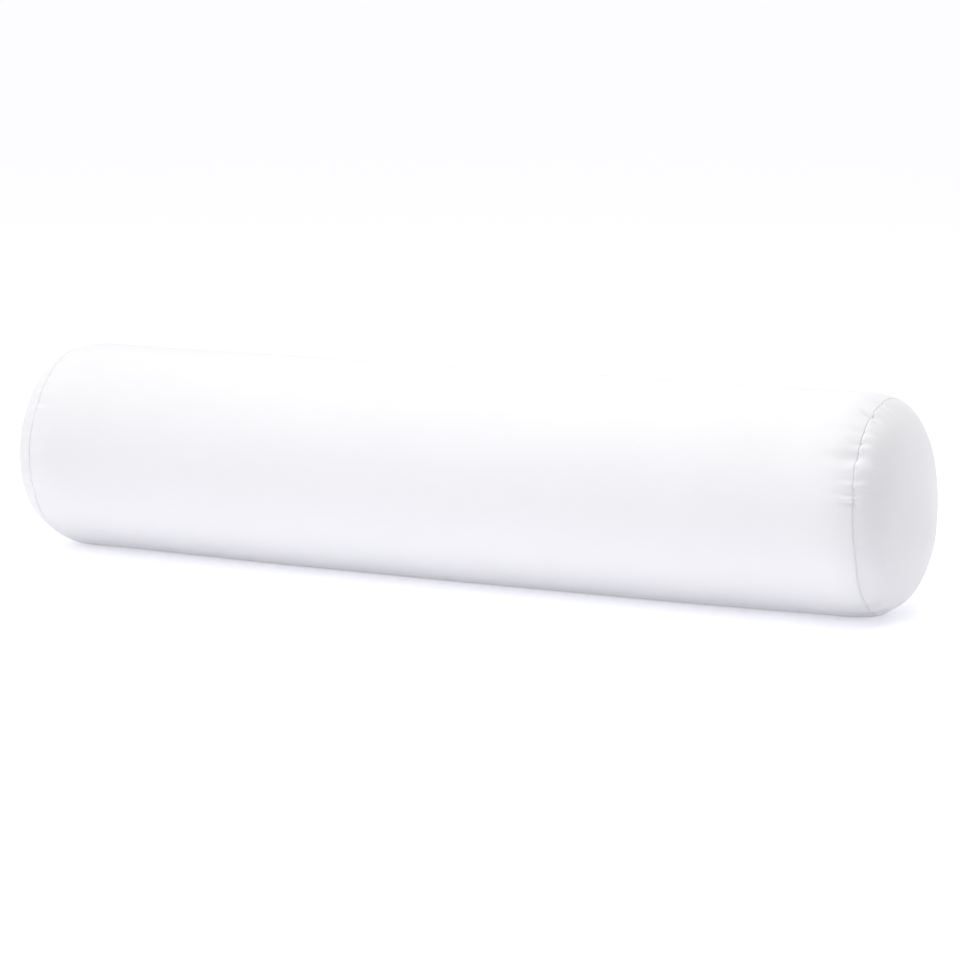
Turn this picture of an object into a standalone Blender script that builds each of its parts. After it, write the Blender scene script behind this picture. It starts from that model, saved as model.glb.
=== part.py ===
"""Body pillow: a firm stuffed bolster, a long side panel closed at each end by a domed round panel.

Metres, +Z up. The pillow lies along X on the plane z = 0, with the origin under the middle of its length,
the front towards -Y. Each piece is an outline of (along, radius) points, turned about X and then settled:
dented where the fill is slack, drooped at the ends and pressed flat where it rests.
"""

from math import atan2, cos, exp, hypot, pi, radians, remainder, sin, tau

import bmesh
import bpy
from mathutils import Vector

# Sewn sizes.
SEAM_TO_SEAM = 0.920  # the side panel, between its two end seams
TUBE_RADIUS = 0.110  # the stuffed tube, beside its shoulders
BELLY = 0.002  # how much fuller the tube is at mid-length
SHOULDER = 0.018  # length over which the tube rounds down to an end seam
SEAM_RADIUS = 0.106  # the end seams draw the tube in to this
TUCK = 0.003  # how deep both cloths turn in at an end seam
LIP = 0.0007  # how far a cloth's rolled edge stands off the seam's plane
PANEL_THICKNESS = 0.0015
SEAM_ALLOWANCE = 0.0015  # the doubled cloth inside an end seam
GAP = 0.0003  # between neighbouring pieces

# How it lies.
SINK = 0.006  # how far the fullest part of the tube is pressed flat
SOFT_EDGE = 0.0025  # height over which the flat underside rounds up into the sides
SPREAD = 1.01  # its own weight makes it this much wider
END_DROOP = 0.024  # how far the middle of an end panel hangs below the tube's axis

# End panels: name, side of the tube, how far the dome stands out, and its fullness (2 is an ellipse, 1 a cone).
END_PANELS = (
    ("end_panel_left", -1, 0.056, 1.50),
    ("end_panel_right", 1, 0.044, 1.55),
)

# Slack places in the fill: along X, degrees round from the top towards the front, length, degrees wide, depth.
DENTS = (
    (-0.330, 70, 0.060, 26, 0.0012),
    (-0.190, 48, 0.110, 24, 0.0014),
    (0.010, 62, 0.055, 26, 0.0018),
    (0.140, 44, 0.070, 20, 0.0012),
    (0.250, 70, 0.045, 30, 0.0016),
    (0.370, 55, 0.050, 22, 0.0012),
    (-0.260, -64, 0.090, 28, 0.0015),
    (0.050, -50, 0.080, 24, 0.0016),
    (0.310, -72, 0.070, 26, 0.0014),
)

# Facets.
AROUND = 52
TUBE_STEPS = 16
SHOULDER_STEPS = 4
DOME_STEPS = 9

LENGTH = SEAM_TO_SEAM + sum(height for _, _, height, _ in END_PANELS)
SEAM_X = {side: side * (LENGTH / 2 - height) for _, side, height, _ in END_PANELS}
DOME_HEIGHT = {side: height for _, side, height, _ in END_PANELS}
TUBE_MIDDLE = (SEAM_X[1] + SEAM_X[-1]) / 2
FULL_HEIGHT = 2 * (TUBE_RADIUS + BELLY) - SINK
HEM_RADIUS = SEAM_RADIUS - TUCK - SEAM_ALLOWANCE

COTTON = (0.86, 0.86, 0.88, 1.0)


def clear_scene():
    for thing in list(bpy.data.objects):
        bpy.data.objects.remove(thing, do_unlink=True)


def cotton(name):
    """Plain white woven cotton."""
    material = bpy.data.materials.new(name)
    material.use_nodes = True
    shader = material.node_tree.nodes["Principled BSDF"]
    shader.inputs["Base Color"].default_value = COTTON
    shader.inputs["Roughness"].default_value = 0.9
    shader.inputs["Metallic"].default_value = 0.0
    return material


def tube_radius(along):
    """The side panel's radius before the shoulders, fullest at mid-length."""
    share = min(1, abs(along - TUBE_MIDDLE) / (SEAM_TO_SEAM / 2))
    return TUBE_RADIUS + BELLY * (1 - share**2)


def tube_outline():
    """(along, radius) of the side panel between its shoulders, left to right."""
    half = SEAM_TO_SEAM / 2 - SHOULDER
    steps = [half * (2 * step / TUBE_STEPS - 1) for step in range(TUBE_STEPS + 1)]
    return [(TUBE_MIDDLE + step, tube_radius(TUBE_MIDDLE + step)) for step in steps]


def shoulder_outline(side):
    """(along, radius) from the end of the tube down to the bottom of the tuck, a quarter of an ellipse and a lip."""
    drop = TUBE_RADIUS - SEAM_RADIUS
    points = []
    for step in range(1, SHOULDER_STEPS + 1):
        angle = pi / 2 * step / SHOULDER_STEPS
        back = LIP + (SHOULDER - LIP) * (1 - sin(angle))
        points.append((SEAM_X[side] - side * back, SEAM_RADIUS + drop * cos(angle)))
    points.append((SEAM_X[side] - side * GAP / 2, SEAM_RADIUS - TUCK))
    return points


def dome_outline(side, fullness):
    """(along, radius) of an end panel's outer face, from the bottom of the tuck to its tip."""
    points = [(SEAM_X[side] + side * GAP / 2, SEAM_RADIUS - TUCK)]
    for step in range(DOME_STEPS + 1):
        angle = pi / 2 * step / DOME_STEPS
        out = LIP + (DOME_HEIGHT[side] - LIP) * sin(angle) ** (2 / fullness)
        radius = SEAM_RADIUS * cos(angle) ** (2 / fullness) if step < DOME_STEPS else 0.0
        points.append((SEAM_X[side] + side * out, radius))
    return points


def inset(outline, side, distance, widest):
    """A dome's outline moved inwards by a distance, and kept inside the seam allowance."""
    points = []
    for index in range(2, len(outline) - 1):
        before, here, after = (Vector(outline[index + step]) for step in (-1, 0, 1))
        run = (after - before).normalized()
        moved = here - side * distance * Vector((-run.y, run.x))
        points.append((moved.x, min(moved.y, widest)))
    tip = outline[-1][0] - side * distance
    return points + [(tip, 0.0)]


def dent_depth(along, angle):
    """How far the slack places let the cloth in, at an angle round from the top towards the front."""
    total = 0.0
    for centre, degrees, length, width, depth in DENTS:
        turn = remainder(angle - radians(degrees), tau)
        total += depth * exp(-(((along - centre) / length) ** 2) - (turn / radians(width)) ** 2)
    return total


def end_droop(along):
    """How far the stuffing has sagged, from nothing at a seam to END_DROOP at a dome's tip."""
    side = 1 if along > TUBE_MIDDLE else -1
    out = max(0.0, side * (along - SEAM_X[side]))
    return END_DROOP * (out / DOME_HEIGHT[side]) ** 2


def pressed(height):
    """A height after the floor has pressed the underside flat, with a soft turn up from it."""
    if height >= SOFT_EDGE:
        return height
    if height <= -SOFT_EDGE:
        return 0.0
    return (height + SOFT_EDGE) ** 2 / (4 * SOFT_EDGE)


def settled(point):
    """Where a point of the freshly turned pillow comes to rest."""
    along, across, up = point
    slack = 1 - dent_depth(along, atan2(-across, up)) / TUBE_RADIUS if hypot(across, up) else 1
    axis_height = FULL_HEIGHT - tube_radius(along) - end_droop(along)
    return Vector((along, across * slack * SPREAD, pressed(axis_height + up * slack)))


def turned(name, outline, material):
    """One closed solid: an outline that starts and ends on the axis, turned about X and settled."""
    mesh = bmesh.new()
    points = [mesh.verts.new((along, 0.0, radius)) for along, radius in outline]
    edges = [mesh.edges.new(pair) for pair in zip(points, points[1:])]
    bmesh.ops.spin(
        mesh, geom=points + edges, cent=(0, 0, 0), axis=(1, 0, 0), angle=tau, steps=AROUND, use_merge=True
    )
    bmesh.ops.remove_doubles(mesh, verts=mesh.verts, dist=1e-6)
    for vert in mesh.verts:
        vert.co = settled(vert.co)
    bmesh.ops.recalc_face_normals(mesh, faces=mesh.faces)

    data = bpy.data.meshes.new(name)
    mesh.to_mesh(data)
    mesh.free()
    data.materials.append(material)
    data.shade_smooth()
    data.set_sharp_from_angle(angle=radians(40))
    solid = bpy.data.objects.new(name, data)
    bpy.context.scene.collection.objects.link(solid)
    return solid


def stuffed_body(domes):
    """The filled solid: the side panel outside, and the stuffing that stands behind both end panels."""
    outline = {}
    for side, dome in domes.items():
        behind = inset(dome, side, PANEL_THICKNESS + GAP, HEM_RADIUS - GAP)
        hem = (SEAM_X[side] - side * GAP / 2, HEM_RADIUS - GAP)
        outline[side] = shoulder_outline(side) + [hem] + behind
    return turned("stuffed_body", outline[-1][::-1] + tube_outline() + outline[1], cotton("side_cloth"))


def end_panel(name, side, dome):
    """A round panel of cloth, domed over the stuffing, with its edge turned in at the seam."""
    inner = [(SEAM_X[side] + side * GAP / 2, HEM_RADIUS)] + inset(dome, side, PANEL_THICKNESS, HEM_RADIUS)
    return turned(name, dome[::-1] + inner, cotton("end_cloth"))


def main():
    clear_scene()
    domes = {side: dome_outline(side, fullness) for _, side, _, fullness in END_PANELS}
    stuffed_body(domes)
    for name, side, _, _ in END_PANELS:
        end_panel(name, side, domes[side])


main()
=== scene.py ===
import random
from math import cos, hypot, pi, radians, sin, tau

import bpy
import numpy as np
from mathutils import Matrix, Vector, noise


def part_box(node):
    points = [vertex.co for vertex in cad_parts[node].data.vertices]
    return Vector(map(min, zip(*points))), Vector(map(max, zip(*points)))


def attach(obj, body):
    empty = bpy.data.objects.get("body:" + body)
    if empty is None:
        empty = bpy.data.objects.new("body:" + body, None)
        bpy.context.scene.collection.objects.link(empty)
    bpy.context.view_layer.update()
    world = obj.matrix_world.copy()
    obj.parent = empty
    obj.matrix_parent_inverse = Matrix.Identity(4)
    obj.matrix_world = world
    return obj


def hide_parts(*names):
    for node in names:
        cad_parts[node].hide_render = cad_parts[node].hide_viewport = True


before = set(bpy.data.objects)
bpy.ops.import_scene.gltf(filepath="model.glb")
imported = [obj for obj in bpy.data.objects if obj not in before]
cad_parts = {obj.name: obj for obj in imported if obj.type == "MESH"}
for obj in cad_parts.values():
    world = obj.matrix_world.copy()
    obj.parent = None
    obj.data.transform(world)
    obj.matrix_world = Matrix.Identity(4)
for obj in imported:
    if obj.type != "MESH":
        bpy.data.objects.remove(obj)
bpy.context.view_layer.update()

# Where the end seams and the tips of the end panels are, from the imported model.
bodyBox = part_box("stuffed_body")
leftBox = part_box("end_panel_left")
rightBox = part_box("end_panel_right")

pillow = {
    "seamGap": 0.0003,  # between the side panel and an end panel, at the bottom of the seam
    "tubeRadius": 0.110,  # the stuffed tube, beside its shoulders
    "belly": 0.002,  # how much fuller it is at mid-length
    "shoulder": 0.023,  # length over which it rounds down to an end seam
    "seamRadius": 0.106,  # the end seams draw the tube in to this
    "tuck": 0.003,  # how deep both cloths turn in at an end seam
    "lip": 0.00016,  # how far a cloth's rolled edge stands off the seam's plane, where the seam is tight
    "softEdge": 0.0025,  # height over which the flat underside rounds up into the sides
    "spread": 1.01,  # its own weight makes it this much wider
    "endDroop": 0.024,  # how far the middle of an end panel hangs below the tube's axis
    "domeFullness": {-1: 1.50, 1: 1.55},  # of the left and right end panels: 2 is an ellipse, 1 a cone
}
seamAt = {-1: leftBox[1].x + pillow["seamGap"] / 2, 1: rightBox[0].x - pillow["seamGap"] / 2}
domeHeight = {-1: seamAt[-1] - leftBox[0].x, 1: rightBox[1].x - seamAt[1]}
tubeMiddle = (seamAt[1] + seamAt[-1]) / 2
tubeLength = seamAt[1] - seamAt[-1]
fullHeight = bodyBox[1].z

# Slack places in the fill. Each row: along X, degrees round from the top towards the front, length,
# degrees wide, depth.
dents = (
    (-0.330, 70, 0.060, 26, 0.0012),
    (-0.190, 48, 0.110, 24, 0.0014),
    (0.010, 62, 0.055, 26, 0.0018),
    (0.140, 44, 0.070, 20, 0.0012),
    (0.250, 70, 0.045, 30, 0.0016),
    (0.370, 55, 0.050, 22, 0.0012),
    (-0.260, -64, 0.090, 28, 0.0015),
    (0.050, -50, 0.080, 24, 0.0016),
    (0.310, -72, 0.070, 26, 0.0014),
)

# The mesh of the cloth, before it is subdivided once: fine beside the end seams, coarse at mid-length.
clothMesh = {
    "around": 224,
    "fineReach": 0.046,  # from an end seam, before the rings start to spread
    "easing": 0.070,  # over which they spread
    "coarseStep": 0.028,
    "domeCentre": 0.045,  # radius inside which an end panel is filled with a grid
    "longSeamDegrees": 164,  # where the side panel is sewn into a tube, from the top towards the front
}
fineStep = tau * pillow["tubeRadius"] / clothMesh["around"]


# The functions below take arrays: along X, a distance or an angle for each point.


def smooth(share):
    share = np.clip(share, 0, 1)
    return share * share * (3 - 2 * share)


def turnFrom(angle, degreesRound):
    # how far round an angle is from a place given in degrees, between minus and plus half a turn
    return (angle - radians(degreesRound) + pi) % tau - pi


def tubeRadiusAt(along):
    share = np.minimum(1, np.abs(along - tubeMiddle) / (tubeLength / 2))
    return pillow["tubeRadius"] + pillow["belly"] * (1 - share**2)


def shoulderRadius(along, fromSeam):
    # a quarter of an ellipse, from the tube down to the seam
    drop = pillow["tubeRadius"] - pillow["seamRadius"]
    back = 1 - np.minimum(1, fromSeam / pillow["shoulder"])
    return tubeRadiusAt(along) - drop * (1 - np.maximum(0, 1 - back**2) ** 0.5)


def domePoint(side, angle):
    # how far out and at what radius an end panel's face is, from its seam at 0 to its tip at pi / 2
    power = 2 / pillow["domeFullness"][side]
    out = domeHeight[side] * sin(angle) ** power
    return out, pillow["seamRadius"] * max(0, cos(angle)) ** power


def domeOut(side, radius):
    # the same face, as a distance out of the seam's plane at a radius
    fullness = pillow["domeFullness"][side]
    share = np.clip(radius / pillow["seamRadius"], 0, 1)
    return domeHeight[side] * (1 - share**fullness) ** (1 / fullness)


def dentDepth(along, angle):
    total = np.zeros_like(along)
    for centre, degreesRound, length, width, depth in dents:
        turn = turnFrom(angle, degreesRound) / radians(width)
        total += depth * np.exp(-(((along - centre) / length) ** 2) - turn**2)
    return total


def endDroop(along):
    # the stuffing sags from nothing at a seam to all of it at the tip
    right = np.maximum(0, along - seamAt[1]) / domeHeight[1]
    left = np.maximum(0, seamAt[-1] - along) / domeHeight[-1]
    return pillow["endDroop"] * (right + left) ** 2


def pressed(height):
    # the underside pressed flat, with a soft turn up from it
    soft = pillow["softEdge"]
    turned = (np.clip(height, -soft, soft) + soft) ** 2 / (4 * soft)
    return np.maximum(turned, height)


def settled(points):
    # where points of the freshly stuffed pillow come to rest
    along, across, up = points.T
    slack = 1 - dentDepth(along, np.arctan2(-across, up)) / pillow["tubeRadius"]
    axisHeight = fullHeight - tubeRadiusAt(along) - endDroop(along)
    return np.column_stack((along, across * slack * pillow["spread"], pressed(axisHeight + up * slack)))


def onRing(along, radius, angle):
    # angle is round from the top towards the front
    along, radius, angle = np.broadcast_arrays(along, radius, angle)
    return np.column_stack((along, -radius * np.sin(angle), radius * np.cos(angle)))


def readPoints(piece):
    points = np.empty(len(piece.data.vertices) * 3)
    piece.data.vertices.foreach_get("co", points)
    return points.reshape(-1, 3)


def writePoints(piece, points):
    piece.data.vertices.foreach_set("co", np.ravel(points))
    piece.data.update()


def roundAndOut(points):
    # each point's angle round from the top towards the front, and its radius
    return np.arctan2(-points[:, 1], points[:, 2]), np.hypot(points[:, 1], points[:, 2])


def deselectAll():
    if bpy.context.mode != "OBJECT":
        bpy.ops.object.mode_set(mode="OBJECT")
    bpy.ops.object.select_all(action="DESELECT")


def selectOnly(*things):
    deselectAll()
    for thing in things:
        thing.select_set(True)
    bpy.context.view_layer.objects.active = things[0]


def applyAll(piece):
    selectOnly(piece)
    for modifier in list(piece.modifiers):
        bpy.ops.object.modifier_apply(modifier=modifier.name)


# How much cloth is eased into the end seams, by degrees round from the top towards the front.
# Each row is where, how wide, and how much of the full ease, with nothing between them but the least.
easing = {
    "least": 0.10,
    "places": {
        1: ((46, 32, 0.9), (-50, 50, 0.7), (158, 12, 0.8)),
        -1: ((30, 50, 0.8), (-60, 55, 0.7), (120, 30, 0.5)),
    },
    "endFade": 0.015,  # how far the wider cut goes on into an end panel
    "ripple": 0.0004,  # unevenness that starts the puckers
    "rippleReach": 0.012,
    "waves": (38, 70),  # fewest and most round the seam
    "waveCount": 7,
    "seed": 12,
}

# Blender's cloth, for the puckers that the drawn-in seams raise against the fill.
drawing = {
    "quality": 6,
    "mass": 0.01,
    "tension": 40,
    "shear": 8,
    "bending": 0.05,
    "pressure": 500,
    "frames": 20,
    "drawnBy": 10,  # the frame by which the seams are all the way in
    "freeReach": 0.072,  # cloth further than this from an end seam is held
    "fadeFrom": 0.022,  # what the simulation moved fades out from here to the held cloth
    "furthest": 0.006,  # no point may move further than this from its smooth place
}


def ringSteps(reach):
    # distances from a seam, in fine steps that grow with the distance and end at reach
    steps = [0]
    while steps[-1] < reach:
        grown = smooth((steps[-1] - clothMesh["fineReach"]) / clothMesh["easing"])
        steps.append(steps[-1] + fineStep + (clothMesh["coarseStep"] - fineStep) * grown)
    last = steps[-1]
    return [step * reach / last for step in steps]


def domeRings(side):
    # (out, radius) rings a fine step apart, from the seam up to the middle that a grid fills
    rings = []
    before = domePoint(side, 0)
    travelled = 0
    angle = 0
    while before[1] > clothMesh["domeCentre"]:
        angle += 0.0005
        here = domePoint(side, angle)
        travelled += hypot(here[0] - before[0], here[1] - before[1])
        before = here
        if travelled >= fineStep:
            rings.append(here)
            travelled = 0
    return rings


def clothRings():
    # every ring of the cloth from left to right: side, distance from its seam, along, radius
    # the distance is negative on an end panel
    half = ringSteps(tubeLength / 2)
    rings = []
    for index, (out, radius) in enumerate(domeRings(-1)):
        rings.insert(0, (-1, -(index + 1) * fineStep, seamAt[-1] - out, radius))
    for step in half:
        rings.append((-1, step, seamAt[-1] + step, shoulderRadius(seamAt[-1] + step, step)))
    for step in half[-2::-1]:
        rings.append((1, step, seamAt[1] - step, shoulderRadius(seamAt[1] - step, step)))
    for index, (out, radius) in enumerate(domeRings(1)):
        rings.append((1, -(index + 1) * fineStep, seamAt[1] + out, radius))
    return rings


def easeAt(side, angle):
    total = np.full_like(angle, easing["least"])
    for centre, width, share in easing["places"][side]:
        total += share * np.exp(-((turnFrom(angle, centre) / radians(width)) ** 2))
    return np.minimum(1, total)


def rippleAt(side, angle):
    draw = random.Random(easing["seed"] + side)
    total = np.zeros_like(angle)
    for _ in range(easing["waveCount"]):
        count = draw.randint(*easing["waves"])
        total += draw.uniform(0.5, 1) * np.sin(count * angle + draw.uniform(0, tau))
    return easing["ripple"] * total / 2.5


def layOut(rings):
    # the shell as a lathe would turn it, ring by ring, each extruded from the last
    around = clothMesh["around"]
    deselectAll()
    bpy.ops.mesh.primitive_circle_add(vertices=around, radius=rings[0][3], rotation=(0, pi / 2, 0))
    shell = bpy.context.object
    shell.name = "clothShell"
    bpy.ops.object.transform_apply(location=True, rotation=True)
    bpy.ops.object.mode_set(mode="EDIT")
    bpy.ops.mesh.select_all(action="SELECT")
    for before, here in zip(rings, rings[1:]):
        bpy.ops.mesh.extrude_region_move(TRANSFORM_OT_translate={"value": (here[2] - before[2], 0, 0)})
    bpy.ops.mesh.select_all(action="SELECT")
    bpy.ops.mesh.flip_normals()  # the extruding leaves them facing inwards
    bpy.ops.object.mode_set(mode="OBJECT")
    return shell


def smoothRing(ring):
    _, _, along, radius = ring
    return onRing(along, radius, columnAngles)


def cutRing(ring):
    # the cut cloth before its seam is drawn in: as wide there as the tube, where ease is wanted
    side, fromSeam, along, radius = ring
    ease = easeAt(side, columnAngles)
    if fromSeam >= 0:
        full = tubeRadiusAt(along)
    else:
        wider = pillow["tubeRadius"] / pillow["seamRadius"] - 1
        full = radius * (1 + wider * np.exp(fromSeam / easing["endFade"]))
    ripple = 0
    if fromSeam != 0:
        near = abs(fromSeam) / easing["rippleReach"] - 0.5
        ripple = rippleAt(side, columnAngles) * np.exp(-near * near) * ease
    return onRing(along, radius + (full - radius) * ease + ripple, columnAngles)


def drawIn(shell, rings):
    # a cloth simulation draws the seams in against the fill, and its result becomes the shell's mesh
    held = shell.vertex_groups.new(name="held")
    ends = (0, 1, len(rings) - 2, len(rings) - 1)
    for index, (_, fromSeam, _, _) in enumerate(rings):
        if fromSeam == 0 or abs(fromSeam) > drawing["freeReach"] or index in ends:
            held.add(list(range(index * around, (index + 1) * around)), 1, "REPLACE")
    cut = np.concatenate([cutRing(ring) for ring in rings])
    sewn = np.concatenate([smoothRing(ring) if ring[1] == 0 else cutRing(ring) for ring in rings])
    writePoints(shell, cut)
    shell.shape_key_add(name="Basis")
    drawn = shell.shape_key_add(name="drawn")
    drawn.data.foreach_set("co", np.ravel(sewn))
    drawn.value = 0
    drawn.keyframe_insert("value", frame=1)
    drawn.value = 1
    drawn.keyframe_insert("value", frame=drawing["drawnBy"])

    cloth = shell.modifiers.new("cloth", "CLOTH")
    settings = cloth.settings
    settings.quality = drawing["quality"]
    settings.mass = drawing["mass"]
    settings.tension_stiffness = drawing["tension"]
    settings.compression_stiffness = drawing["tension"]
    settings.shear_stiffness = drawing["shear"]
    settings.bending_stiffness = drawing["bending"]
    settings.use_pressure = True
    settings.uniform_pressure_force = drawing["pressure"]
    settings.vertex_group_mass = held.name
    settings.effector_weights.gravity = 0
    scene = bpy.context.scene
    scene.frame_start, scene.frame_end = 1, drawing["frames"]
    cloth.point_cache.frame_start, cloth.point_cache.frame_end = 1, drawing["frames"]
    for step in range(1, drawing["frames"] + 1):
        scene.frame_set(step)
    graph = bpy.context.evaluated_depsgraph_get()
    result = bpy.data.meshes.new_from_object(shell.evaluated_get(graph))
    shell.modifiers.clear()
    shell.shape_key_clear()
    shell.data = result
    scene.frame_set(1)


def capMoves(shell, rings):
    # no point keeps more than the furthest move, and the moves fade out before the held cloth
    smoothShape = np.concatenate([smoothRing(ring) for ring in rings])
    fromSeam = np.repeat([abs(ring[1]) for ring in rings], around)
    kept = 1 - smooth((fromSeam - drawing["fadeFrom"]) / (drawing["freeReach"] - drawing["fadeFrom"]))
    moved = readPoints(shell) - smoothShape
    far = np.linalg.norm(moved, axis=1)
    kept *= np.minimum(1, drawing["furthest"] / np.maximum(far, 1e-9))
    writePoints(shell, smoothShape + moved * kept[:, None])


around = clothMesh["around"]
columnAngles = radians(clothMesh["longSeamDegrees"]) + tau * np.arange(around) / around
rings = clothRings()
shell = layOut(rings)
print("cloth laid out:", len(rings), "rings,", len(shell.data.vertices), "points")

drawIn(shell, rings)
capMoves(shell, rings)
print("seams drawn in by simulation")


seamRings = {ring[0]: number for number, ring in enumerate(rings) if ring[1] == 0}

# Both cloths roll over and turn in at an end seam: shares of the lip and of the tuck, from the roll down
# to the hem.
turnIn = ((0.45, 0.16), (0.12, 0.50), (0.0, 1.0))

sidePanel = {
    "hemDrop": 0.0025,  # from the bottom of the tuck to the edge of the stuffing behind an end panel
    "stuffingInset": 0.0045,  # the stuffing's face, behind the end panel's
    "longSeamDepth": 0.0022,
    "longSeamSqueeze": 0.0046,  # how much cloth the long seam takes up on each side of itself
    "longSeamReach": 0.016,
}

endPanel = {
    "thickness": 0.0006,
    "cutAcross": 0.24,  # the disc it is cut from, with its seam allowance
    "domeStretch": 1.12,  # the cut cloth, against the dome seen from its end
}

# Where an end seam gapes. Each row: degrees from the top towards the front, degrees wide, how much.
gapes = {
    1: (
        (11, 2.0, 0.0005),
        (25.5, 2.6, 0.0011),
        (46.5, 3.0, 0.0007),
        (55, 1.6, 0.0005),
        (67, 1.2, 0.0006),
        (73, 1.0, 0.0007),
        (95, 1.4, 0.0006),
        (102, 4.5, 0.0003),
        (158, 3.0, 0.0016),
        (-33, 2.0, 0.0007),
        (-74, 1.6, 0.0006),
        (-120, 2.0, 0.0005),
    ),
    -1: ((12, 2.2, 0.0005), (74, 1.6, 0.0002), (-40, 2.4, 0.0008), (-85, 1.6, 0.0005)),
}

# Where an end seam is drawn in towards mid-length. Each row: degrees, degrees wide, how far.
drawnAlong = {
    1: ((39, 30, 0.0040), (58, 6, 0.0016), (69, 7, 0.0012), (112, 14, -0.0012)),
    -1: ((60, 30, 0.0016), (-50, 34, 0.0022)),
}

# Puckers at the end seams. Each row: degrees from the top towards the front, depth (negative stands up),
# how wide across, reach on the side panel, reach on the end panel, and how far the fold leans.
puckers = {
    1: (
        (11, 0.0014, 0.0028, 0.014, 0.008, 0.10),
        (25.5, 0.0030, 0.0026, 0.010, 0.009, -0.30),
        (39, 0.0011, 0.0024, 0.024, 0.006, 0.0),
        (46.5, 0.0016, 0.0022, 0.012, 0.006, 0.0),
        (54, 0.0032, 0.0044, 0.018, 0.014, 0.0),
        (57, 0.0014, 0.0040, 0.036, 0.004, -0.05),
        (59.5, -0.0011, 0.0026, 0.007, 0.016, 0.04),
        (67, 0.0012, 0.0024, 0.010, 0.006, 0.0),
        (69, -0.0006, 0.0022, 0.010, 0.022, 0.0),
        (72, 0.0013, 0.0020, 0.005, 0.024, 0.0),
        (75, 0.0014, 0.0017, 0.017, 0.004, 0.0),
        (77, -0.0017, 0.0015, 0.017, 0.002, 0.0),
        (79, 0.0014, 0.0017, 0.016, 0.004, 0.0),
        (89, 0.0009, 0.0050, 0.024, 0.010, 0.0),
        (96, 0.0015, 0.0420, 0.032, 0.012, 0.0),
        (102, 0.0006, 0.0044, 0.016, 0.008, 0.0),
        (123, 0.0003, 0.0050, 0.014, 0.008, 0.0),
        (145, 0.0014, 0.0050, 0.013, 0.009, 0.0),
        (158, 0.0040, 0.0038, 0.013, 0.014, 0.0),
        (-20, 0.0010, 0.0034, 0.020, 0.010, 0.06),
        (-38, 0.0014, 0.0036, 0.026, 0.014, -0.05),
        (-57, 0.0009, 0.0030, 0.018, 0.012, 0.0),
        (-71, 0.0013, 0.0036, 0.024, 0.010, 0.04),
        (-96, 0.0007, 0.0040, 0.018, 0.012, 0.0),
        (-131, 0.0005, 0.0040, 0.018, 0.010, 0.0),
    ),
    -1: (
        (8, 0.0010, 0.0034, 0.018, 0.010, 0.0),
        (24, 0.0013, 0.0036, 0.026, 0.012, 0.08),
        (39, 0.0009, 0.0030, 0.016, 0.014, 0.0),
        (58, 0.0011, 0.0034, 0.022, 0.012, -0.05),
        (73, 0.0007, 0.0030, 0.018, 0.010, 0.0),
        (91, 0.0009, 0.0036, 0.024, 0.016, 0.04),
        (112, 0.0006, 0.0040, 0.016, 0.010, 0.0),
        (139, 0.0005, 0.0040, 0.018, 0.010, 0.0),
        (-12, 0.0008, 0.0030, 0.014, 0.010, 0.0),
        (-33, 0.0012, 0.0038, 0.028, 0.012, -0.06),
        (-52, 0.0009, 0.0032, 0.018, 0.016, 0.0),
        (-78, 0.0010, 0.0036, 0.022, 0.010, 0.05),
        (-108, 0.0006, 0.0040, 0.018, 0.012, 0.0),
        (-142, 0.0005, 0.0040, 0.016, 0.010, 0.0),
    ),
}

# Soft unevenness all over the cloth, where the fill is not quite even.
unevenness = {
    "size": 0.055,
    "depth": 0.0005,
    "fineSize": 0.016,
    "fineDepth": 0.00010,
    "stretch": 2.2,  # longer along the pillow than round it
    "quietAtSeam": 0.010,  # it fades out over this, up to an end seam
    "quietAtTip": 0.03,  # nothing is let in at the very middle of an end panel
}

# An end seam isn't sewn quite true, nor pulled equally tight all round.
seamUnevenness = {
    "wander": 0.0009,
    "wanderWaves": 2.2,
    "wanderReach": 0.020,
    "lipShare": 0.4,
    "lipWaves": 9,
}


def puckerDepth(side, fromSeam, angle):
    # how far the puckers let the cloth in, at a distance from the seam (negative on the end panel)
    total = np.zeros_like(angle)
    for degreesRound, depth, width, onSide, onEnd, lean in puckers[side]:
        share = np.abs(fromSeam) / np.where(fromSeam >= 0, onSide, onEnd)
        turn = turnFrom(angle, degreesRound) * pillow["seamRadius"] - lean * fromSeam
        spread = width * (1 + 0.6 * share)
        total += depth * np.exp(-share * share - (turn / spread) ** 2)
    return total


def waves(places, seed):
    # soft noise, between about minus and plus one, at each of a set of places
    away = Vector((seed * 7.3, seed * 3.1, 0))
    return np.array([noise.noise(Vector(place) + away) for place in places])


def bumps(rows, angle):
    # the sum of a table's rows of degrees, degrees wide and height
    total = np.zeros_like(angle)
    for centre, width, height in rows:
        total += height * np.exp(-((turnFrom(angle, centre) / radians(width)) ** 2))
    return total


def lipAt(side, angle):
    places = onRing(0, seamUnevenness["lipWaves"], angle)
    uneven = 1 + seamUnevenness["lipShare"] * waves(places, 5 * side)
    return pillow["lip"] * uneven + bumps(gapes[side], angle)


def seamWander(side, angle):
    # along X, and drawn in at the broadest gathers
    places = onRing(0, seamUnevenness["wanderWaves"], angle)
    return seamUnevenness["wander"] * waves(places, 11 * side) - side * bumps(drawnAlong[side], angle)


def unevenAt(along, angle):
    places = onRing(along / unevenness["stretch"], pillow["tubeRadius"], angle)
    broad = unevenness["depth"] * waves(places / unevenness["size"], 1)
    return broad + unevenness["fineDepth"] * waves(places / unevenness["fineSize"], 2)


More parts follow.
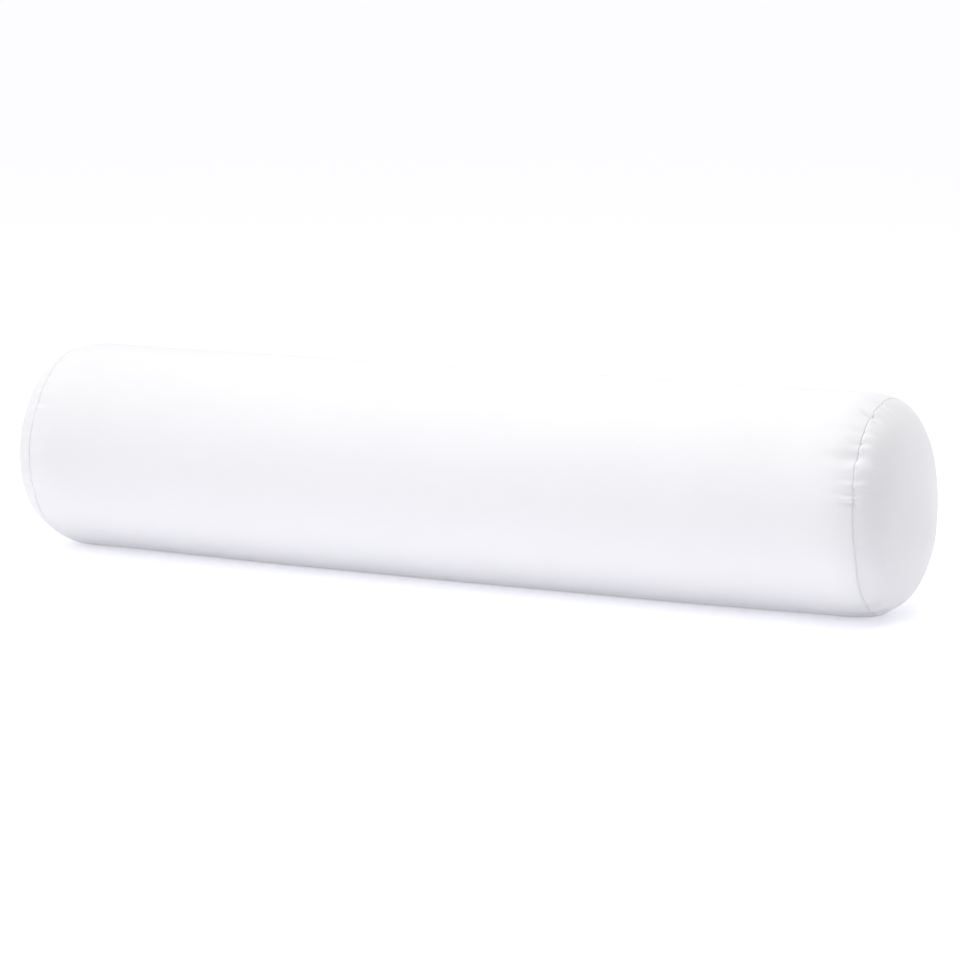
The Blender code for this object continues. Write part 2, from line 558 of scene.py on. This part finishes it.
def finishedPlaces(points):
    # puckers, unevenness and wander, then where it all settles
    along = points[:, 0]
    angle, radius = roundAndOut(points)
    moved = points.copy()
    for side in (-1, 1):
        mine = (along > tubeMiddle) if side > 0 else (along <= tubeMiddle)
        fromSeam = side * (seamAt[side] - along[mine])
        # on a dome the distance is measured down its face
        downFace = -np.hypot(fromSeam, np.maximum(0, pillow["seamRadius"] - radius[mine]))
        fromSeam = np.where(fromSeam < 0, downFace, fromSeam)
        inwards = np.minimum(1, radius[mine] / unevenness["quietAtTip"])
        letIn = puckerDepth(side, fromSeam, angle[mine]) * inwards
        clear = smooth(np.abs(fromSeam) / unevenness["quietAtSeam"])
        letIn += unevenAt(along[mine], angle[mine]) * inwards * clear
        # how much of a dome's face looks out along X
        facing = np.clip(-fromSeam / pillow["seamRadius"], 0, 1)
        place = along[mine] - side * letIn * facing
        place += seamWander(side, angle[mine]) * np.exp(-((fromSeam / seamUnevenness["wanderReach"]) ** 2))
        moved[mine] = onRing(place, radius[mine] - letIn * (1 - facing), angle[mine])
    return settled(moved)


def keepRings(name, first, last):
    # a copy of the shell with only the rings from first to last
    piece = shell.copy()
    piece.data = shell.data.copy()
    piece.name = piece.data.name = name
    piece.vertex_groups.clear()
    bpy.context.scene.collection.objects.link(piece)
    selectOnly(piece)
    bpy.ops.object.mode_set(mode="EDIT")
    bpy.ops.mesh.select_mode(type="VERT")
    bpy.ops.mesh.select_all(action="DESELECT")
    bpy.ops.object.mode_set(mode="OBJECT")
    for vertex in piece.data.vertices:
        vertex.select = not first <= vertex.index // around <= last
    bpy.ops.object.mode_set(mode="EDIT")
    bpy.ops.mesh.delete(type="VERT")
    bpy.ops.object.mode_set(mode="OBJECT")
    return piece


def selectRing(piece, first):
    # in edit mode, the ring of points that starts at an index
    selectOnly(piece)
    bpy.ops.object.mode_set(mode="EDIT")
    bpy.ops.mesh.select_mode(type="VERT")
    bpy.ops.mesh.select_all(action="DESELECT")
    bpy.ops.object.mode_set(mode="OBJECT")
    for vertex in piece.data.vertices[first : first + around]:
        vertex.select = True
    bpy.ops.object.mode_set(mode="EDIT")


def extrudeTo(piece, along, radius):
    # extrudes the selected ring and puts the new ring's points at a place along and at a radius
    bpy.ops.mesh.extrude_region_move(TRANSFORM_OT_translate={"value": (0, 0, 0)})
    bpy.ops.object.mode_set(mode="OBJECT")
    points = readPoints(piece)
    angle, _ = roundAndOut(points[-around:])
    points[-around:] = onRing(along, radius, angle)
    writePoints(piece, points)
    bpy.ops.object.mode_set(mode="EDIT")


def rollIn(piece, first, side, inwards):
    # inwards is 1 for the side panel, which lies on the tube's side of the seam, and -1 for an end panel
    points = readPoints(piece)
    angle, _ = roundAndOut(points[first : first + around])
    lip = lipAt(side, angle)
    points[first : first + around, 0] = seamAt[side] - side * inwards * lip
    writePoints(piece, points)
    selectRing(piece, first)
    bpy.ops.transform.edge_crease(value=1)
    half = pillow["seamGap"] / 2
    for lipShare, tuckShare in turnIn:
        edge = seamAt[side] - side * inwards * (half + (lip - half) * lipShare)
        extrudeTo(piece, edge, pillow["seamRadius"] - pillow["tuck"] * tuckShare)


def fillWithin(piece, alongAt):
    # fills the selected ring with a grid, and puts each of its points at a place along for its radius
    known = len(piece.data.vertices)
    bpy.ops.mesh.fill_grid(span=around // 4)
    bpy.ops.object.mode_set(mode="OBJECT")
    points = readPoints(piece)
    points[known:, 0] = alongAt(roundAndOut(points[known:])[1])
    writePoints(piece, points)


def laidFlat(piece, flatOf):
    # the piece's own map, in metres on the cloth as it was cut
    flat = flatOf(readPoints(piece))
    loops = np.empty(len(piece.data.loops), np.int32)
    piece.data.loops.foreach_get("vertex_index", loops)
    places = flat[loops]
    faces = piece.data.polygons
    faceOf = np.repeat(np.arange(len(faces)), [face.loop_total for face in faces])
    widest = np.full(len(faces), -np.inf)
    np.maximum.at(widest, faceOf, places[:, 1])
    wraps = widest[faceOf] - places[:, 1] > pillow["tubeRadius"] * pi
    places[wraps, 1] += tau * pillow["tubeRadius"]
    piece.data.uv_layers.new(name="cutCloth").data.foreach_set("uv", np.ravel(places))


def unrolled(points):
    # along, and round from the long seam
    angle, _ = roundAndOut(points)
    fromLongSeam = (angle - radians(clothMesh["longSeamDegrees"]) + 1e-6) % tau
    return np.column_stack((points[:, 0], fromLongSeam * pillow["tubeRadius"]))


def sewLongSeam(piece):
    # the points beside the long seam are drawn together, and those on it turned in
    reach = sidePanel["longSeamReach"] / pillow["tubeRadius"]
    squeeze = sidePanel["longSeamSqueeze"] / pillow["tubeRadius"]
    points = readPoints(piece)
    angle, radius = roundAndOut(points)
    turn = turnFrom(angle, clothMesh["longSeamDegrees"])
    onSeam = np.abs(turn) < 1e-4
    drawnBack = squeeze / 2 * np.clip(1 - np.abs(turn) / reach, 0, 1) ** 2
    angle -= np.where(onSeam, 0, drawnBack * np.sign(turn))
    radius -= sidePanel["longSeamDepth"] * onSeam
    writePoints(piece, onRing(points[:, 0], radius, angle))


def settle(piece):
    writePoints(piece, finishedPlaces(readPoints(piece)))
    selectOnly(piece)
    bpy.ops.object.shade_smooth()


def makeSidePanel():
    piece = keepRings("sidePanel", seamRings[-1], seamRings[1])
    laidFlat(piece, unrolled)
    sewLongSeam(piece)
    lastRing = len(piece.data.vertices) - around
    for side, first in ((-1, 0), (1, lastRing)):
        rollIn(piece, first, side, 1)
        hem = pillow["seamRadius"] - pillow["tuck"] - sidePanel["hemDrop"]
        extrudeTo(piece, seamAt[side] - side * pillow["seamGap"] / 2, hem)
        inset = sidePanel["stuffingInset"]
        fillWithin(piece, lambda radius: seamAt[side] + side * (domeOut(side, radius + inset) - inset))
    finer = piece.modifiers.new("finer", "SUBSURF")
    finer.levels = finer.render_levels = 1
    applyAll(piece)
    settle(piece)
    return piece


def makeEndPanel(name, side):
    if side < 0:
        piece = keepRings(name, 0, seamRings[-1])
        seamFirst, centreFirst = seamRings[-1] * around, 0
    else:
        piece = keepRings(name, seamRings[1], len(rings) - 1)
        seamFirst, centreFirst = 0, len(piece.data.vertices) - around
    rollIn(piece, seamFirst, side, -1)
    selectRing(piece, centreFirst)
    fillWithin(piece, lambda radius: seamAt[side] + side * domeOut(side, radius))
    laidFlat(piece, lambda points: points[:, 1:] * endPanel["domeStretch"])
    finer = piece.modifiers.new("finer", "SUBSURF")
    finer.levels = finer.render_levels = 1
    applyAll(piece)
    settle(piece)
    bpy.ops.object.mode_set(mode="EDIT")
    bpy.ops.mesh.select_all(action="SELECT")
    bpy.ops.mesh.normals_make_consistent(inside=False)
    bpy.ops.object.mode_set(mode="OBJECT")
    wall = piece.modifiers.new("wall", "SOLIDIFY")
    wall.thickness = endPanel["thickness"]
    wall.offset = -1
    applyAll(piece)
    return piece


sideCloth = makeSidePanel()
print("side panel:", len(sideCloth.data.polygons), "faces")
endPanels = {-1: makeEndPanel("endPanelLeft", -1), 1: makeEndPanel("endPanelRight", 1)}
print("end panels:", len(endPanels[1].data.polygons), "faces each")
bpy.data.objects.remove(shell, do_unlink=True)


stitching = {
    "pitch": 0.0036,
    "length": 0.0033,
    "thread": 0.00038,  # its radius
    "depth": 0.0004,  # below the rolled edges of an end seam, where it is tight
    "longDepth": 0.0013,  # below the side panel, in its long seam
    "endsShort": 0.010,  # how far the long seam's stitches stop short of the end seams
    "sides": 6,
    "rings": 4,
    "endShare": 0.55,  # of the thread's radius, at a stitch's ends
    "fuller": 0.8,  # how much more it has at the middle
    "dip": 1.2,  # how far the ends go into the cloth, in thread radii
    "sinkInGapes": 1.1,  # how much deeper it lies where the seam gapes
    "unevenPitch": 0.1,
    "unevenDepth": 0.0001,
    "endSlant": 0.10,  # how far off its seam's line a stitch may point
    "longSlant": 0.08,
    "seed": 5,
}


def makeStitch():
    # one stitch lying along X, its two ends dipping into the cloth
    half = stitching["length"] / 2
    deselectAll()
    bpy.ops.mesh.primitive_circle_add(
        vertices=stitching["sides"],
        radius=stitching["thread"] * stitching["endShare"],
        rotation=(0, pi / 2, 0),
        location=(-half, 0, 0),
    )
    stitch = bpy.context.object
    stitch.name = "stitch"
    bpy.ops.object.transform_apply(location=True, rotation=True)
    bpy.ops.object.mode_set(mode="EDIT")
    bpy.ops.mesh.select_all(action="SELECT")
    bpy.ops.mesh.edge_face_add()
    steps = stitching["rings"]
    for step in range(1, steps + 1):
        bpy.ops.mesh.extrude_region_move(TRANSFORM_OT_translate={"value": (2 * half / steps, 0, 0)})
    bpy.ops.mesh.select_all(action="SELECT")
    bpy.ops.mesh.normals_make_consistent(inside=False)
    bpy.ops.object.mode_set(mode="OBJECT")
    for vertex in stitch.data.vertices:
        share = vertex.co.x / half
        fuller = 1 + stitching["fuller"] * (1 - share**4)
        vertex.co.y *= fuller
        vertex.co.z = vertex.co.z * fuller - stitching["thread"] * stitching["dip"] * share * share
    bpy.ops.object.shade_smooth()
    return stitch


def sewAlong(name, places):
    # copies the stitch to each (place, direction along the seam, outwards) and joins them
    first = makeStitch()
    copies = []
    for place, along, outwards in places:
        across = outwards.cross(along).normalized()
        turn = Matrix((along, across, outwards)).transposed().to_4x4()
        copy = bpy.data.objects.new(name, first.data.copy())
        copy.data.transform(Matrix.Translation(place) @ turn)
        bpy.context.scene.collection.objects.link(copy)
        copies.append(copy)
    bpy.data.objects.remove(first, do_unlink=True)
    selectOnly(*copies)
    bpy.ops.object.join()
    row = bpy.context.object
    row.name = row.data.name = name
    return row


def unitRows(rows):
    return rows / np.linalg.norm(rows, axis=1, keepdims=True)


def endSeamPlaces(side):
    draw = np.random.default_rng(stitching["seed"] + side)
    radius = pillow["seamRadius"]
    count = round(tau * radius / stitching["pitch"])
    uneven, slant = stitching["unevenPitch"], stitching["endSlant"]
    angle = tau * (np.arange(count) + draw.uniform(-uneven, uneven, count)) / count
    gaping = lipAt(side, angle) - pillow["lip"]
    deep = stitching["depth"] + stitching["sinkInGapes"] * gaping
    deep = deep + draw.uniform(0, stitching["unevenDepth"], count)
    here = finishedPlaces(onRing(seamAt[side], radius - deep, angle))
    ahead = finishedPlaces(onRing(seamAt[side], radius - deep, angle + 0.01))
    above = finishedPlaces(onRing(seamAt[side], radius, angle))
    outwards = unitRows(above - here)
    along = unitRows(ahead - here)
    along[:, 0] += draw.uniform(-slant, slant, count)
    along = unitRows(along - outwards * np.sum(along * outwards, axis=1, keepdims=True))
    return [tuple(map(Vector, row)) for row in zip(here, along, outwards)]


def longSeamPlaces():
    draw = np.random.default_rng(stitching["seed"])
    angle = radians(clothMesh["longSeamDegrees"])
    reach = tubeLength / 2 - stitching["endsShort"]
    count = round(2 * reach / stitching["pitch"])
    along = tubeMiddle + reach * (2 * (np.arange(count) + 0.5) / count - 1)
    deep = stitching["longDepth"] * draw.uniform(0.8, 1.0, count)
    here = finishedPlaces(onRing(along, tubeRadiusAt(along) - deep, angle))
    outwards = Vector((0, -sin(angle), cos(angle)))
    slants = draw.uniform(-stitching["longSlant"], stitching["longSlant"], count)
    sewn = [Vector((1, slant, 0)).normalized() for slant in slants]
    return [(Vector(place), course, outwards) for place, course in zip(here, sewn)]


endStitches = {
    -1: sewAlong("endStitchesLeft", endSeamPlaces(-1)),
    1: sewAlong("endStitchesRight", endSeamPlaces(1)),
}
longStitches = sewAlong("longStitches", longSeamPlaces())
print("stitches sewn")


whiteCotton = {
    "white": (0.885, 0.885, 0.895, 1),
    # darker tone: painted shade in the low places of the weave, between its threads, and the random
    # mottle's darker patches
    "weaveDipShadeAndMottle": (0.855, 0.855, 0.865, 1),
    "roughness": (0.82, 0.92),
    "threadPitch": 0.00042,
    "weaveHeight": 0.00006,
    "slubHeight": 0.00010,
    "slubStretch": (60, 1800),  # slow along a thread, quick across it
    "mottleScale": 28,
    "specular": 0.25,
    "sheen": 0.15,
    "sheenRoughness": 0.5,
    "endGrain": radians(7),  # how far the end panels' grain is turned
}
whiteThread = {
    "white": (0.95, 0.95, 0.96, 1),
    "plyGrooveShade": (0.86, 0.86, 0.88, 1),
    "roughness": 0.6,
    "twist": 130,
    "twistWander": 1.5,
    "plyHeight": 0.00005,
}


def link(tree, start, end):
    tree.links.new(start, end)


def mathNode(tree, operation, first, second=None):
    node = tree.nodes.new("ShaderNodeMath")
    node.operation = operation
    for socket, value in zip(node.inputs, (first, second)):
        if value is None:
            continue
        if isinstance(value, (int, float)):
            socket.default_value = value
        else:
            link(tree, value, socket)
    return node.outputs[0]


def plainWeaveGroup():
    # fine plain weave: warp and weft pass over each other in turn, each thread a little thick and thin
    group = bpy.data.node_groups.new("plainWeave", "ShaderNodeTree")
    face = group.interface
    face.new_socket("Cloth", in_out="INPUT", socket_type="NodeSocketVector")
    pitch = face.new_socket("Thread Pitch", in_out="INPUT", socket_type="NodeSocketFloat")
    pitch.default_value = whiteCotton["threadPitch"]
    face.new_socket("Weave", in_out="OUTPUT", socket_type="NodeSocketFloat")
    face.new_socket("Slub", in_out="OUTPUT", socket_type="NodeSocketFloat")
    face.new_socket("Mottle", in_out="OUTPUT", socket_type="NodeSocketFloat")
    given = group.nodes.new("NodeGroupInput")
    result = group.nodes.new("NodeGroupOutput")

    scaled = group.nodes.new("ShaderNodeVectorMath")
    scaled.operation = "SCALE"
    link(group, given.outputs["Cloth"], scaled.inputs[0])
    link(group, mathNode(group, "DIVIDE", pi, given.outputs["Thread Pitch"]), scaled.inputs["Scale"])
    parts = group.nodes.new("ShaderNodeSeparateXYZ")
    link(group, scaled.outputs[0], parts.inputs[0])
    warp = mathNode(group, "COSINE", parts.outputs[0])
    weft = mathNode(group, "COSINE", parts.outputs[1])
    crossing = mathNode(group, "MULTIPLY", warp, weft)
    weave = mathNode(group, "MULTIPLY_ADD", crossing, 0.5)
    weave.node.inputs[2].default_value = 0.5
    link(group, weave, result.inputs["Weave"])

    slubs = []
    slow, quick = whiteCotton["slubStretch"]
    for stretch in ((slow, quick, 1), (quick, slow, 1)):
        drawn = group.nodes.new("ShaderNodeVectorMath")
        drawn.operation = "MULTIPLY"
        drawn.inputs[1].default_value = stretch
        link(group, given.outputs["Cloth"], drawn.inputs[0])
        thick = group.nodes.new("ShaderNodeTexNoise")
        thick.inputs["Scale"].default_value = 1
        thick.inputs["Detail"].default_value = 2
        link(group, drawn.outputs[0], thick.inputs["Vector"])
        slubs.append(thick.outputs["Fac"])
    both = mathNode(group, "ADD", slubs[0], slubs[1])
    link(group, mathNode(group, "MULTIPLY", both, 0.5), result.inputs["Slub"])

    cloud = group.nodes.new("ShaderNodeTexNoise")
    cloud.inputs["Scale"].default_value = whiteCotton["mottleScale"]
    cloud.inputs["Detail"].default_value = 4
    link(group, given.outputs["Cloth"], cloud.inputs["Vector"])
    link(group, cloud.outputs["Fac"], result.inputs["Mottle"])
    return group


weaveGroup = plainWeaveGroup()


def cottonMaterial(name, turn):
    # turn is how far the cloth's grain is turned on this piece
    material = bpy.data.materials.new(name)
    material.use_nodes = True
    tree = material.node_tree
    shader = tree.nodes["Principled BSDF"]
    shader.inputs["Metallic"].default_value = 0
    shader.inputs["Sheen Weight"].default_value = whiteCotton["sheen"]
    shader.inputs["Sheen Roughness"].default_value = whiteCotton["sheenRoughness"]
    shader.inputs["Specular IOR Level"].default_value = whiteCotton["specular"]

    flat = tree.nodes.new("ShaderNodeUVMap")
    flat.uv_map = "cutCloth"
    placed = tree.nodes.new("ShaderNodeMapping")
    placed.inputs["Rotation"].default_value = (0, 0, turn)
    link(tree, flat.outputs[0], placed.inputs["Vector"])
    weave = tree.nodes.new("ShaderNodeGroup")
    weave.node_tree = weaveGroup
    weave.inputs["Thread Pitch"].default_value = whiteCotton["threadPitch"]
    link(tree, placed.outputs[0], weave.inputs["Cloth"])

    # painted shade: the cloth is tinted darker where the weave dips between its threads; the mottle
    # darkens it at random besides
    both = mathNode(tree, "ADD", weave.outputs["Weave"], weave.outputs["Mottle"])
    shade = mathNode(tree, "MULTIPLY", both, 0.5)
    tint = tree.nodes.new("ShaderNodeMix")
    tint.data_type = "RGBA"
    tint.inputs["A"].default_value = whiteCotton["weaveDipShadeAndMottle"]
    tint.inputs["B"].default_value = whiteCotton["white"]
    link(tree, shade, tint.inputs["Factor"])
    link(tree, tint.outputs["Result"], shader.inputs["Base Color"])

    rough = tree.nodes.new("ShaderNodeMapRange")
    rough.inputs["To Min"].default_value, rough.inputs["To Max"].default_value = whiteCotton["roughness"]
    link(tree, weave.outputs["Slub"], rough.inputs["Value"])
    link(tree, rough.outputs[0], shader.inputs["Roughness"])

    slub = tree.nodes.new("ShaderNodeBump")
    slub.inputs["Distance"].default_value = whiteCotton["slubHeight"]
    link(tree, weave.outputs["Slub"], slub.inputs["Height"])
    threads = tree.nodes.new("ShaderNodeBump")
    threads.inputs["Distance"].default_value = whiteCotton["weaveHeight"]
    link(tree, weave.outputs["Weave"], threads.inputs["Height"])
    link(tree, slub.outputs[0], threads.inputs["Normal"])
    link(tree, threads.outputs[0], shader.inputs["Normal"])
    return material


def threadMaterial():
    # two-ply white thread, its twist seen as slanting lines, with painted shade greying the grooves
    # between the plies
    material = bpy.data.materials.new("sewingThread")
    material.use_nodes = True
    tree = material.node_tree
    shader = tree.nodes["Principled BSDF"]
    shader.inputs["Metallic"].default_value = 0
    shader.inputs["Roughness"].default_value = whiteThread["roughness"]
    place = tree.nodes.new("ShaderNodeTexCoord")
    twist = tree.nodes.new("ShaderNodeTexWave")
    twist.bands_direction = "DIAGONAL"
    twist.inputs["Scale"].default_value = whiteThread["twist"]
    twist.inputs["Distortion"].default_value = whiteThread["twistWander"]
    link(tree, place.outputs["Object"], twist.inputs["Vector"])
    # painted shade: the thread is tinted grey where the twist's bump is lowest, in the grooves
    tint = tree.nodes.new("ShaderNodeMix")
    tint.data_type = "RGBA"
    tint.inputs["A"].default_value = whiteThread["plyGrooveShade"]
    tint.inputs["B"].default_value = whiteThread["white"]
    link(tree, twist.outputs["Fac"], tint.inputs["Factor"])
    link(tree, tint.outputs["Result"], shader.inputs["Base Color"])
    bump = tree.nodes.new("ShaderNodeBump")
    bump.inputs["Distance"].default_value = whiteThread["plyHeight"]
    link(tree, twist.outputs["Fac"], bump.inputs["Height"])
    link(tree, bump.outputs[0], shader.inputs["Normal"])
    return material


def dress(piece, material):
    piece.data.materials.clear()
    piece.data.materials.append(material)


sideCotton = cottonMaterial("sideCotton", 0)
endCotton = cottonMaterial("endCotton", whiteCotton["endGrain"])
thread = threadMaterial()
dress(sideCloth, sideCotton)
for panel in endPanels.values():
    dress(panel, endCotton)
for row in (*endStitches.values(), longStitches):
    dress(row, thread)
print("materials made")


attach(sideCloth, "root")
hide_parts("stuffed_body")
for side, node in ((-1, "end_panel_left"), (1, "end_panel_right")):
    panel = endPanels[side]
    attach(panel, "root")
    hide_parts(node)
    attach(endStitches[side], "root")
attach(longStitches, "root")


studio = {
    "floorSize": 160,
    "floorWhite": (0.925, 0.92, 0.955, 1),
    "floorGlow": (0.95, 0.95, 1.0, 1),  # the floor is a light table, lit faintly from below
    "floorGlowStrength": 0.175,
    "floorExtraWhite": 0.2,  # exposes the floor itself to a clean white
    # soft light from all round, weaker behind, with a black flag off to the right
    "around": (0.985, 0.985, 1.0, 1),
    "brightest": 0.90,
    "flagTowards": (0.944, -0.330, 0),
    "flagEdges": (0.05, 0.95),  # cosines of the angles from its middle, from full light to none
    "behindEdges": (0.2, 1.0),
    "behindShare": 0.75,
    # name, place, aimed at, width, height, watts
    "lamps": (
        ("overhead", (0.12, -0.22, 1.9), (0.05, 0, 0.1), 2.0, 1.0, 18.5),
        ("front", (-0.05, -1.3, 0.55), (-0.05, 0, 0.1), 0.7, 0.5, 1.5),
        ("rim", (1.15, 0.5, 0.15), (0.5, 0.05, 0.1), 0.3, 0.3, 1.6),
    ),
}
shot = {
    "lens": 115.8,
    "azimuth": 25.38,
    "elevation": 9.86,
    "distance": 3.186,
    "aim": (0.0274, 0, 0.1017),
}


def makeFloor():
    deselectAll()
    bpy.ops.mesh.primitive_plane_add(size=studio["floorSize"])
    floor = bpy.context.object
    floor.name = "floor"
    material = bpy.data.materials.new("paleFloor")
    material.use_nodes = True
    tree = material.node_tree
    shader = tree.nodes["Principled BSDF"]
    shader.inputs["Base Color"].default_value = studio["floorWhite"]
    shader.inputs["Roughness"].default_value = 1
    shader.inputs["Specular IOR Level"].default_value = 0
    shader.inputs["Emission Color"].default_value = studio["floorGlow"]
    seen = tree.nodes.new("ShaderNodeLightPath")
    extra = mathNode(tree, "MULTIPLY", seen.outputs["Is Camera Ray"], studio["floorExtraWhite"])
    glow = mathNode(tree, "ADD", extra, studio["floorGlowStrength"])
    link(tree, glow, shader.inputs["Emission Strength"])
    floor.data.materials.append(material)


def shareTowards(tree, place, direction, edges, start, end):
    # goes from start to end as a direction turns towards the given one
    towards = tree.nodes.new("ShaderNodeVectorMath")
    towards.operation = "DOT_PRODUCT"
    towards.inputs[1].default_value = direction
    link(tree, place.outputs["Generated"], towards.inputs[0])
    share = tree.nodes.new("ShaderNodeMapRange")
    share.interpolation_type = "SMOOTHERSTEP"
    share.inputs["From Min"].default_value, share.inputs["From Max"].default_value = edges
    share.inputs["To Min"].default_value, share.inputs["To Max"].default_value = start, end
    link(tree, towards.outputs["Value"], share.inputs["Value"])
    return share.outputs[0]


def makeWorld():
    world = bpy.data.worlds.new("studio")
    world.use_nodes = True
    tree = world.node_tree
    background = tree.nodes["Background"]
    background.inputs["Color"].default_value = studio["around"]
    place = tree.nodes.new("ShaderNodeTexCoord")
    flag = shareTowards(tree, place, studio["flagTowards"], studio["flagEdges"], studio["brightest"], 0)
    behind = shareTowards(tree, place, (0, 1, 0), studio["behindEdges"], 1, studio["behindShare"])
    link(tree, mathNode(tree, "MULTIPLY", flag, behind), background.inputs["Strength"])
    bpy.context.scene.world = world


def makeLamps():
    for name, place, aim, width, height, watts in studio["lamps"]:
        lamp = bpy.data.lights.new(name, "AREA")
        lamp.shape = "RECTANGLE"
        lamp.size, lamp.size_y = width, height
        lamp.energy = watts
        stand = bpy.data.objects.new(name, lamp)
        stand.location = place
        stand.visible_camera = False
        stand.rotation_euler = (Vector(aim) - Vector(place)).to_track_quat("-Z", "Y").to_euler()
        bpy.context.scene.collection.objects.link(stand)


def makeCamera():
    lens = bpy.data.cameras.new("camera")
    lens.lens = shot["lens"]
    lens.clip_end = 300
    camera = bpy.data.objects.new("camera", lens)
    turn, lift = radians(shot["azimuth"]), radians(shot["elevation"])
    back = Vector((sin(turn) * cos(lift), -cos(turn) * cos(lift), sin(lift)))
    camera.location = Vector(shot["aim"]) + back * shot["distance"]
    camera.rotation_euler = (-back).to_track_quat("-Z", "Y").to_euler()
    bpy.context.scene.collection.objects.link(camera)
    bpy.context.scene.camera = camera


makeFloor()
makeWorld()
makeLamps()
makeCamera()
bpy.context.scene.view_settings.view_transform = "Standard"
print("studio set")
